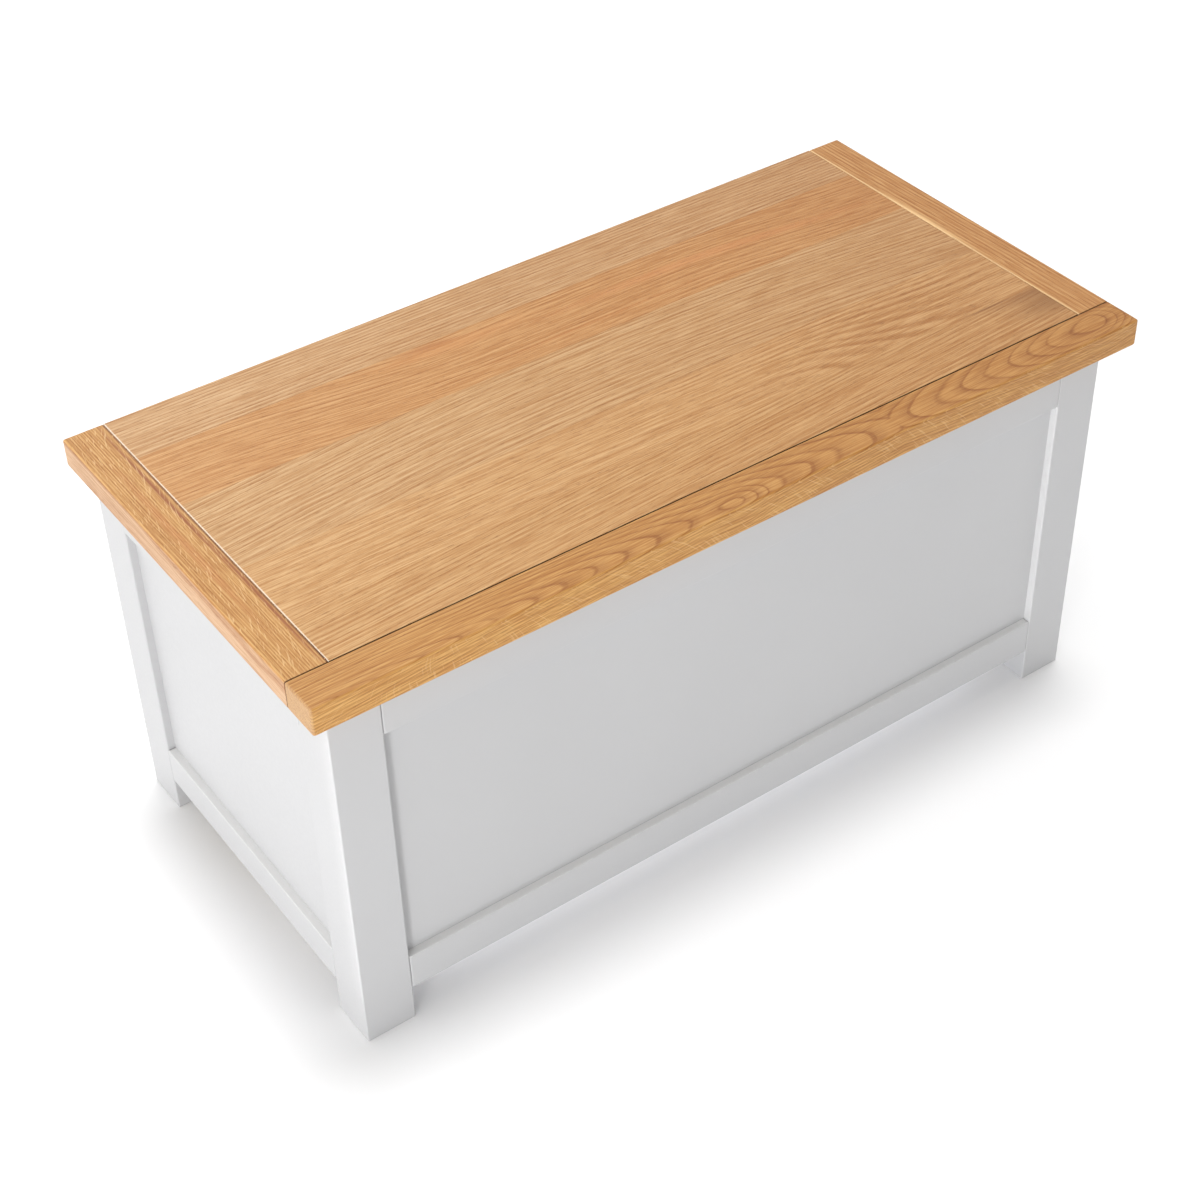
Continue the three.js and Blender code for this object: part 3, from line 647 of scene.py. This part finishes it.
FIBRE = 1 / (1.2 * MM)
ALONG = 1 / (60 * MM)
paint = {axis: satin_paint("satin_paint_" + axis,
                           [ALONG if axis == other else FIBRE for other in "xyz"])
         for axis in "xyz"}
print("paint mixed for wood along", ", ".join(paint))

# %% [markdown]
# ## Posts and rails
# Four square posts run down to the floor as feet. Between them sit a top and a bottom rail on each
# side, flush with the posts. Both are eased before assembly, so each joint is a shallow V.

# %% Posts
BODY_ARRIS = 1.8 * MM
FOOT_ARRIS = 1.0 * MM
corners = {}
for depth in ("front", "rear"):
    for side in ("left", "right"):
        name = f"post_{depth}_{side}"
        low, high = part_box(name)
        corners[depth, side] = (low, high)
        foot = {edge: FOOT_ARRIS for edge in ((1, 0, -1), (-1, 0, -1), (0, 1, -1), (0, -1, -1))}
        show_board(name + "_painted", low, high, BODY_ARRIS, foot, "chest_body",
                   [name], paint["z"])
print("posts", [round(edge / MM, 1) for edge in high - low], "mm")

# %% Rails
RAIL_ARRIS = 1.5 * MM
front_left, front_right = corners["front", "left"], corners["front", "right"]
rear_left = corners["rear", "left"]
for level in ("top", "bottom"):
    for side in ("front", "rear", "left", "right"):
        name = f"{side}_{level}_rail"
        low, high = (corner.copy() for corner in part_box(name))
        if side in ("front", "rear"):
            low.x, high.x = front_left[1].x + GAP, front_right[0].x - GAP
            along = "x"
        else:
            low.y, high.y = front_left[1].y + GAP, rear_left[0].y - GAP
            along = "y"
        notches = ()
        if name == "rear_top_rail":
            notches = [(*span, leaf_front, high.z, axis.z - leaf_depth) for span in leaf_spans]
        show_board(name + "_painted", low, high, RAIL_ARRIS, {}, "chest_body",
                   [name], paint[along], notches)
print("eight rails made")

# %% Panels
for side in ("front", "rear", "left", "right"):
    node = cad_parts[side + "_panel"]
    node.material_slots[0].material = paint["x" if side in ("front", "rear") else "y"]
print("four panels painted")

# %% [markdown]
# ## Metal, plastic and plywood
# Four more finishes stay out of sight until the lid opens. The hinges are drawn brass under clear
# lacquer: warm, satin, with fine lines along the leaf from the rolling mill. Pins and stays are
# steel plated with zinc, cooler and brushed along their length. The stays' housings are moulded in
# grey plastic, with the faint spark texture of their mould. The floor is birch plywood, whose
# veneer is peeled from the log, so its figure is wide and vague, with plies on its edges.

# %% Brushed metal
def brushed_metal(name, dull, bright, stretch, roughness):
    """Plated or lacquered metal with fine lines; stretch gives their scale along each axis."""
    material, tree, shader = new_finish(name)
    place = add(tree, "TexCoord").node.outputs["Object"]
    lines = add(tree, "Mapping", {"Vector": place, "Scale": stretch})
    lines = add(tree, "TexNoise", {"Vector": lines, "Scale": 1, "Detail": 3})
    bloom = add(tree, "TexNoise", {"Vector": place, "Scale": 1 / (9 * MM), "Detail": 2})
    tone = add(tree, "Math", {0: lines, 1: bloom}, operation="MULTIPLY")
    tone = add(tree, "MapRange", {"Value": tone, 1: 0.15, 2: 0.35})
    colour = add(tree, "Mix", {0: tone, 6: linear(dull), 7: linear(bright)},
                 data_type="RGBA").node.outputs[2]
    gloss = add(tree, "MapRange", {"Value": lines, 1: 0.3, 2: 0.7, 3: roughness - 0.07,
                                   4: roughness + 0.09})
    relief = add(tree, "Bump", {"Height": lines, "Distance": 0.02 * MM, "Strength": 0.5})
    feed(shader, {"Base Color": colour, "Metallic": 1, "Roughness": gloss, "Normal": relief})
    return material


SCRATCH = 1 / (0.25 * MM)
STROKE = 1 / (12 * MM)
brass = brushed_metal("lacquered_brass", "BC9852", "D2B273", (STROKE, SCRATCH, SCRATCH), 0.3)
steel = brushed_metal("zinc_plated_steel", "A3A7AB", "C9CCCF", (SCRATCH, STROKE, SCRATCH), 0.34)
print("brass and steel mixed")

# %% Moulded plastic
moulded, tree, shader = new_finish("moulded_grey_plastic")
place = add(tree, "TexCoord").node.outputs["Object"]
spark = add(tree, "TexNoise", {"Vector": place, "Scale": 1 / (0.6 * MM), "Detail": 2})
flow = add(tree, "TexNoise", {"Vector": place, "Scale": 1 / (20 * MM), "Detail": 1})
grey = add(tree, "Mix", {0: flow, 6: linear("8A8C8E"), 7: linear("939597")},
           data_type="RGBA").node.outputs[2]
gloss = add(tree, "MapRange", {"Value": spark, 3: 0.42, 4: 0.58})
relief = add(tree, "Bump", {"Height": spark, "Distance": 0.04 * MM, "Strength": 0.5})
feed(shader, {"Base Color": grey, "Roughness": gloss, "Normal": relief})
print("plastic mixed")

# %% Birch plywood
PLY = 1.8 * MM
plywood, tree, shader = new_finish("birch_plywood")
place = add(tree, "TexCoord").node.outputs["Object"]
height = add(tree, "SeparateXYZ", {"Vector": place}).node.outputs["Z"]
ply = add(tree, "Math", {0: height, 1: 2 * PLY}, operation="DIVIDE")
ply = add(tree, "Math", {0: ply}, operation="FRACT")
ply = add(tree, "Math", {0: ply, 1: 0.5}, operation="GREATER_THAN")
peeled = add(tree, "Mapping", {"Vector": place, "Scale": (2.2, 16, 30)})
peeled = add(tree, "TexNoise", {"Vector": peeled, "Scale": 1, "Detail": 3, "Distortion": 1.4})
peeled = add(tree, "Math", {0: peeled, 1: 7}, operation="MULTIPLY")
peeled = add(tree, "Math", {0: peeled}, operation="FRACT")
wood = add(tree, "ValToRGB", {"Fac": peeled},
           stops=[(0, "E2CDA8"), (0.55, "DEC8A1"), (0.9, "D5BC91"), (1, "E0CBA5")])
fibre = add(tree, "Mapping", {"Vector": place, "Scale": (1 / (9 * MM), 1 / (0.7 * MM),
                                                         1 / (0.7 * MM))})
fibre = add(tree, "TexNoise", {"Vector": fibre, "Scale": 1, "Detail": 3})
wood = add(tree, "VectorMath", {0: wood, "Scale": add(
    tree, "MapRange", {"Value": fibre, 1: 0.3, 2: 0.7, 3: 0.93, 4: 1.05})}, operation="SCALE")
wood = add(tree, "Mix", {0: add(tree, "Math", {0: ply, 1: 0.3}, operation="MULTIPLY"), 6: wood,
                         7: linear("A88657")}, data_type="RGBA").node.outputs[2]
relief = add(tree, "Bump", {"Height": fibre, "Distance": 0.06 * MM, "Strength": 0.5})
feed(shader, {"Base Color": wood, "Roughness": 0.62, "Normal": relief})
for name in ("floor_panel", "front_cleat", "rear_cleat"):
    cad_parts[name].material_slots[0].material = plywood
print("plywood laid inside")

# %% [markdown]
# ## Plates, rods and screws
# All the metalwork is made of three shapes. A plate starts as an outline with rounded corners and
# round holes, which is filled and given its thickness. A rod is a drum across the chest, for
# knuckles and rivets. A screw is a disc whose cross recess is pushed in and whose rim is drawn
# down to the countersink, the shank and the point. A Bevel modifier that works by angle then
# breaks every hard edge, because pressed metal catches a thin line of light there.

# %% Plates
CORNER_STEPS = 8
HOLE_STEPS = 24
SHARP_ABOVE = math.radians(50)


def plate(length, width, thickness, corner, holes=(), square_end=False):
    """A plate lying on z 0 with its length along X. A hole is (x, y, radius above, radius below).
    A square end keeps the corners at -X sharp."""
    bm = bmesh.new()
    bmesh.ops.create_grid(bm, x_segments=1, y_segments=1, size=0.5)
    bmesh.ops.scale(bm, vec=(length, width, 1), verts=bm.verts)
    bmesh.ops.bevel(bm, geom=[vert for vert in bm.verts if vert.co.x > 0 or not square_end],
                    offset=corner, segments=CORNER_STEPS, profile=0.5, affect="VERTICES",
                    material=-1)
    bmesh.ops.remove_doubles(bm, verts=bm.verts, dist=HAIR / 10)
    if holes:
        bmesh.ops.delete(bm, geom=bm.faces[:], context="FACES_ONLY")
        for x, y, above, _ in holes:
            bmesh.ops.create_circle(bm, segments=HOLE_STEPS, radius=above,
                                    matrix=Matrix.Translation((x, y, 0)))
        bmesh.ops.triangle_fill(bm, edges=bm.edges[:], use_beauty=True)
    made = bmesh.ops.extrude_face_region(bm, geom=bm.faces[:])
    bmesh.ops.translate(bm, vec=(0, 0, thickness), verts=made_verts(made))
    for x, y, above, below in holes:
        middle = Vector((x, y, 0))
        ring = [vert for vert in bm.verts
                if vert.co.z < HAIR and abs((vert.co - middle).length - above) < HAIR]
        bmesh.ops.scale(bm, vec=(below / above, below / above, 1), verts=ring,
                        space=Matrix.Translation(-middle))
    bmesh.ops.recalc_face_normals(bm, faces=bm.faces)
    return bm


def placed(bm, matrix, onto=None):
    """Moves a bmesh to its place, and adds it to another one where there is one."""
    bmesh.ops.transform(bm, matrix=matrix, verts=bm.verts)
    if matrix.determinant() < 0:
        bmesh.ops.reverse_faces(bm, faces=bm.faces)
    if onto is None:
        return bm
    mesh = bpy.data.meshes.new("part")
    bm.to_mesh(mesh)
    bm.free()
    onto.from_mesh(mesh)
    bpy.data.meshes.remove(mesh)
    return onto


print("plates ready")

# %% Rods and metal pieces
def rod(bm, start, end, radius, segments=40):
    """A drum across the chest from the point start to the x of end."""
    middle = Vector(((start[0] + end) / 2, start[1], start[2]))
    bmesh.ops.create_cone(
        bm, cap_ends=True, segments=segments, radius1=radius, radius2=radius,
        depth=abs(end - start[0]),
        matrix=Matrix.Translation(middle) @ Matrix.Rotation(math.radians(90), 4, "Y"))


def show_metal(name, bm, body, nodes, material, ease):
    """Makes a metal piece whose hard edges are broken by a Bevel modifier."""
    for face in bm.faces:
        face.smooth = True
    for edge in bm.edges:
        if len(edge.link_faces) == 2:
            edge.smooth = not SMOOTH_BELOW < edge.calc_face_angle() < SHARP_ABOVE
    piece = show(name, bm, body, nodes, [material])
    rounding = piece.modifiers.new("broken edges", "BEVEL")
    rounding.limit_method = "ANGLE"
    rounding.angle_limit = SHARP_ABOVE
    rounding.width = ease
    rounding.segments = 3
    rounding.harden_normals = True
    return piece


print("rods ready")

# %% Screws
def show_screw(name, place, facing, head, shank, length, body, nodes, material):
    """A countersunk screw with a cross recess; place is the middle of its head."""
    bm = bmesh.new()
    bmesh.ops.create_circle(bm, segments=HOLE_STEPS, radius=head, cap_ends=True)
    arm, half = 0.6 * head, 0.12 * head
    for index in (0, 1):
        normal = Vector((1 - index, index, 0))
        for offset in (-arm, -half, half, arm):
            bmesh.ops.bisect_plane(bm, geom=[*bm.verts, *bm.edges, *bm.faces],
                                   plane_co=normal * offset, plane_no=normal)
    cross = [face for face in bm.faces
             if min(abs(part) for part in face.calc_center_median().xy) < half
             and max(abs(part) for part in face.calc_center_median().xy) < arm]
    sunk = made_verts(bmesh.ops.extrude_face_region(bm, geom=cross))
    bmesh.ops.delete(bm, geom=cross, context="FACES")
    bmesh.ops.translate(bm, vec=(0, 0, -0.3 * head), verts=sunk)
    bmesh.ops.scale(bm, vec=(0.8, 0.8, 1), verts=sunk)
    radius, level = head, 0
    point = 3 * shank
    for smaller, lower in ((head, -0.05 * head), (shank, -0.05 * head - (head - shank)),
                           (shank, -length + point), (0.15 * shank, -length)):
        rim = [edge for edge in bm.edges if edge.is_boundary]
        drawn = made_verts(bmesh.ops.extrude_edge_only(bm, edges=rim))
        bmesh.ops.scale(bm, vec=(smaller / radius, smaller / radius, 1), verts=drawn)
        bmesh.ops.translate(bm, vec=(0, 0, lower - level), verts=drawn)
        radius, level = smaller, lower
    bmesh.ops.contextual_create(bm, geom=[edge for edge in bm.edges if edge.is_boundary])
    bmesh.ops.recalc_face_normals(bm, faces=bm.faces)
    turn = Vector(facing).to_track_quat("Z", "Y").to_matrix().to_4x4()
    placed(bm, Matrix.Translation(place) @ turn)
    return show_metal(name, bm, body, nodes, material, 0.12 * MM)


print("screws ready")

# %% [markdown]
# ## Hinges
# A butt hinge is two leaves whose rolled knuckles take turns round one pin: three on the body's
# leaf, two on the lid's. The leaves are let into the wood, and the heads of the screws stand a
# hair above them.

# %% Make both hinges
KNUCKLES = 5
SCREW_PITCH = 25 * MM
SCREW_EDGE = 9 * MM
HEAD, SHANK, SCREW_LENGTH = 3.4 * MM, 1.7 * MM, 18 * MM
PROUD = 0.12 * MM
for side in ("left", "right"):
    for part, up, body in (("body", -1, "chest_body"), ("lid", 1, "lid")):
        node = f"hinge_{side}_{part}_leaf"
        low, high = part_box(node)
        pin_low, pin_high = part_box(f"hinge_{side}_pin")
        middle = (pin_low + pin_high) / 2
        radius = high.y - middle.y
        length = pin_high.x - pin_low.x
        back = middle.y - radius - FIT
        line = low.y + SCREW_EDGE
        leaf_middle = (low.y + back) / 2
        holes = [(step * SCREW_PITCH, up * (leaf_middle - line), HEAD + 0.1 * MM, SHANK + FIT)
                 for step in (-1, 0, 1)]
        bm = plate(length, back - low.y, LEAF, 2 * MM, holes)
        facing = Matrix.Rotation(math.radians(180) if up > 0 else 0, 4, "X")
        surface = middle.z + up * FIT
        placed(bm, Matrix.Translation((middle.x, leaf_middle, surface + up * LEAF)) @ facing)
        pitch = (length + FIT) / KNUCKLES
        for index in range(0 if up < 0 else 1, KNUCKLES, 2):
            start = pin_low.x + index * pitch
            rod(bm, (start, middle.y, middle.z), start + pitch - FIT, radius)
            web = bmesh.ops.create_cube(bm, size=1)["verts"]
            bmesh.ops.scale(bm, vec=(pitch - FIT, middle.y - back + LEAF, LEAF), verts=web)
            bmesh.ops.translate(
                bm, vec=(start + (pitch - FIT) / 2, (middle.y + back - LEAF) / 2,
                         surface + up * LEAF / 2), verts=web)
        show_metal(node + "_brass", bm, body, [node], brass, 0.25 * MM)
        for step in (-1, 0, 1):
            screw = f"hinge_{side}_{part}_screw_{step + 2}"
            place = (middle.x + step * SCREW_PITCH, line, surface - up * PROUD)
            show_screw(screw + "_brass", place, (0, 0, -up), HEAD, SHANK, SCREW_LENGTH, body,
                       [screw], brass)
    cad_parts[f"hinge_{side}_pin"].material_slots[0].material = steel
print("two hinges and their screws made")

# %% [markdown]
# ## Lid stays
# Each stay is a moulded housing on the side rail, with a damper inside, an arm, a link, and a
# bracket under the lid. Arm and link are punched strips with round ends, turning on rivets whose
# heads are domed by the riveting tool. Each part is made lying flat, then stood up against the
# side of the chest.

# %% Make both stays
ARM, LINK, EAR, RIVET, RIVET_HEAD = 14 * MM, 12 * MM, 14 * MM, 2.5 * MM, 4.5 * MM
STAY_HEAD, STAY_SHANK = 2.6 * MM, 1.3 * MM
HOUSING_CORNER = 8 * MM
HOUSING_SCREW_IN, HOUSING_SCREW_UP = 9 * MM, 5.6 * MM
BRACKET_FOOT, BRACKET_PITCH, EAR_THICKNESS = 2.5 * MM, 14 * MM, 3 * MM
NEARLY = 0.999
for side, hand in (("left", -1), ("right", 1)):
    def across(node, corner):
        """The x of a node's face, 0 for the face towards the rail and 1 for the inner one."""
        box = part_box(node)
        return box[1 - corner if hand > 0 else corner].x

    def strip(node, ends, width, corner, square_end=False, holes=()):
        """A plate stood up across the chest, in the place of a node, between two points."""
        start, end = (Vector((0, *point)) for point in ends)
        along = (end - start).normalized()
        outer, inner = across(node, 0), across(node, 1)
        facing = Vector((-hand, 0, 0))
        matrix = Matrix((along, facing.cross(along), facing)).transposed().to_4x4()
        matrix.translation = (start + end) / 2 + Vector((outer, 0, 0))
        bm = plate((end - start).length + 2 * corner * (not square_end), width,
                   abs(inner - outer), corner * NEARLY, holes, square_end)
        return placed(bm, matrix)

    pivots = {}
    for pin in ("arm", "elbow", "lid"):
        low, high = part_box(f"stay_{side}_{pin}_pin")
        pivots[pin] = (low + high).yz / 2
    names = {part: f"stay_{side}_{part}" for part in
             ("housing", "arm", "link", "lid_bracket", "arm_pin", "elbow_pin", "lid_pin")}

    low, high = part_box(names["housing"])
    level = (low.z + high.z) / 2
    bm = strip(names["housing"],
               ((low.y + HOUSING_CORNER, level), (high.y - HOUSING_CORNER, level)),
               high.z - low.z, HOUSING_CORNER)
    lid_face = max(bm.faces, key=lambda face: -hand * face.calc_center_median().x)
    bmesh.ops.inset_region(bm, faces=[lid_face], thickness=2.2 * MM)
    bmesh.ops.inset_region(bm, faces=[lid_face], thickness=0.5 * MM, depth=-0.5 * MM)
    show_metal(names["housing"] + "_moulded", bm, "chest_body",
               [names["housing"]], moulded, 1.2 * MM)
    for place in ((low.y + HOUSING_SCREW_IN, low.z + HOUSING_SCREW_UP),
                  (low.y + HOUSING_SCREW_IN, high.z - HOUSING_SCREW_UP),
                  (high.y - HOUSING_SCREW_IN, high.z - HOUSING_SCREW_UP)):
        show_screw(f"{names['housing']}_screw_{round(place[0] / MM)}_{round(place[1] / MM)}",
                   (across(names["housing"], 1) + hand * 0.4 * MM, *place), (-hand, 0, 0),
                   STAY_HEAD, STAY_SHANK, SCREW_LENGTH, "chest_body", [], steel)

    for part, ends, width, body in (
            ("arm", ("elbow", "arm"), ARM, f"{side}_stay_arm"),
            ("link", ("elbow", "lid"), LINK, f"{side}_stay_link")):
        bm = strip(names[part], [pivots[end] for end in ends], width, width / 2)
        show_metal(names[part] + "_plated", bm, body, [names[part]], steel, 0.5 * MM)

    low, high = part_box(names["lid_bracket"])
    bm = plate(high.y - low.y, high.x - low.x, BRACKET_FOOT, 3 * MM,
               [(step * BRACKET_PITCH, 0, STAY_HEAD + 0.1 * MM, STAY_SHANK + 0.3 * MM)
                for step in (-1, 1)])
    turn = Matrix.Rotation(math.radians(180), 4, "X") @ Matrix.Rotation(math.radians(90), 4, "Z")
    middle = (low + high) / 2
    placed(bm, Matrix.Translation((middle.x, middle.y, high.z)) @ turn)
    lowest = pivots["lid"].y - EAR / 2
    root = high.z - BRACKET_FOOT / 2
    ear = plate(root - lowest, EAR, EAR_THICKNESS, EAR / 2 * NEARLY, square_end=True)
    stand = Matrix(((0, 0, 1, middle.x - EAR_THICKNESS / 2), (0, 1, 0, pivots["lid"].x),
                    (-1, 0, 0, (root + lowest) / 2), (0, 0, 0, 1)))
    placed(ear, stand, bm)
    show_metal(names["lid_bracket"] + "_plated", bm, "lid", [names["lid_bracket"]],
               steel, 0.4 * MM)
    for step in (-1, 1):
        place = (middle.x, middle.y + step * BRACKET_PITCH, high.z - BRACKET_FOOT - PROUD)
        show_screw(f"{names['lid_bracket']}_screw_{step + 2}", place, (0, 0, -1), STAY_HEAD,
                   STAY_SHANK, SCREW_LENGTH - 4 * MM, "lid", [], steel)

    for part, body in (("arm_pin", "chest_body"), ("elbow_pin", f"{side}_stay_arm"),
                       ("lid_pin", "lid")):
        outer, inner = across(names[part], 0), across(names[part], 1)
        centre = pivots[part[:-4]]
        head = 1.5 * MM
        bm = bmesh.new()
        rod(bm, (outer, *centre), inner, RIVET)
        rod(bm, (inner + hand * head, *centre), inner, RIVET_HEAD)
        if part != "arm_pin":
            rod(bm, (outer, *centre), outer - hand * head, RIVET_HEAD)
        show_metal(names[part] + "_domed", bm, body, [names[part]], steel, 1.0 * MM)
print("two stays made")
